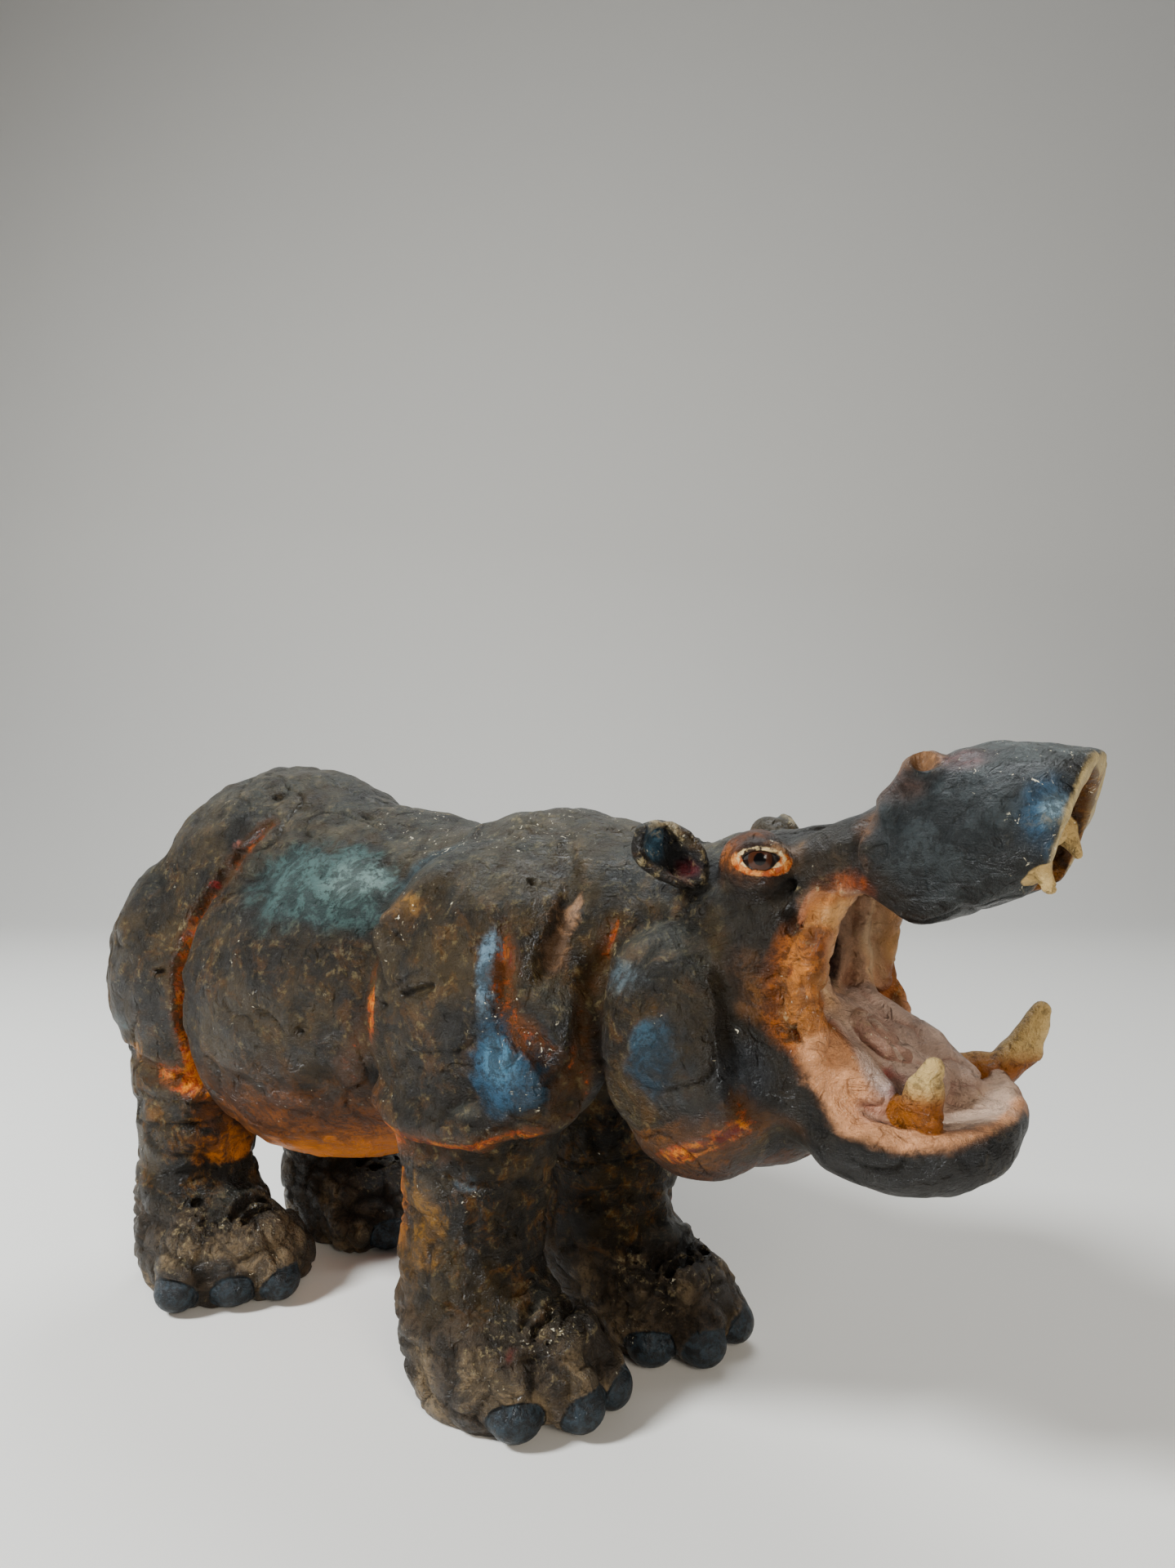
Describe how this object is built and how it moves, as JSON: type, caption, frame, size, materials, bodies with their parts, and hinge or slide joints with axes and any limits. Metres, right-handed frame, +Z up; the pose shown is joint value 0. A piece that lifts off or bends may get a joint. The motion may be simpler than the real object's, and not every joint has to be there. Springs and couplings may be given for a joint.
{
  "type": "hippo figurine",
  "caption": "Hand-built stained ceramic hippo standing on its feet, jaws wide open with tusks raised, deep folds and varnished hide.",
  "frame": {"origin": "centre of the figure's box in plan, on the surface that the soles stand on", "axes": "+X towards the snout, +Y towards the figure's left flank, +Z up"},
  "size_m": [0.46, 0.161, 0.2472],
  "materials": {
    "stained_clay": "fired clay stained charcoal brown, orange and ochre in the folds and blue on the high spots, under a satin varnish"
  },
  "bodies": {
    "root": {"hippo": "stained_clay"}
  },
  "joints": []
}
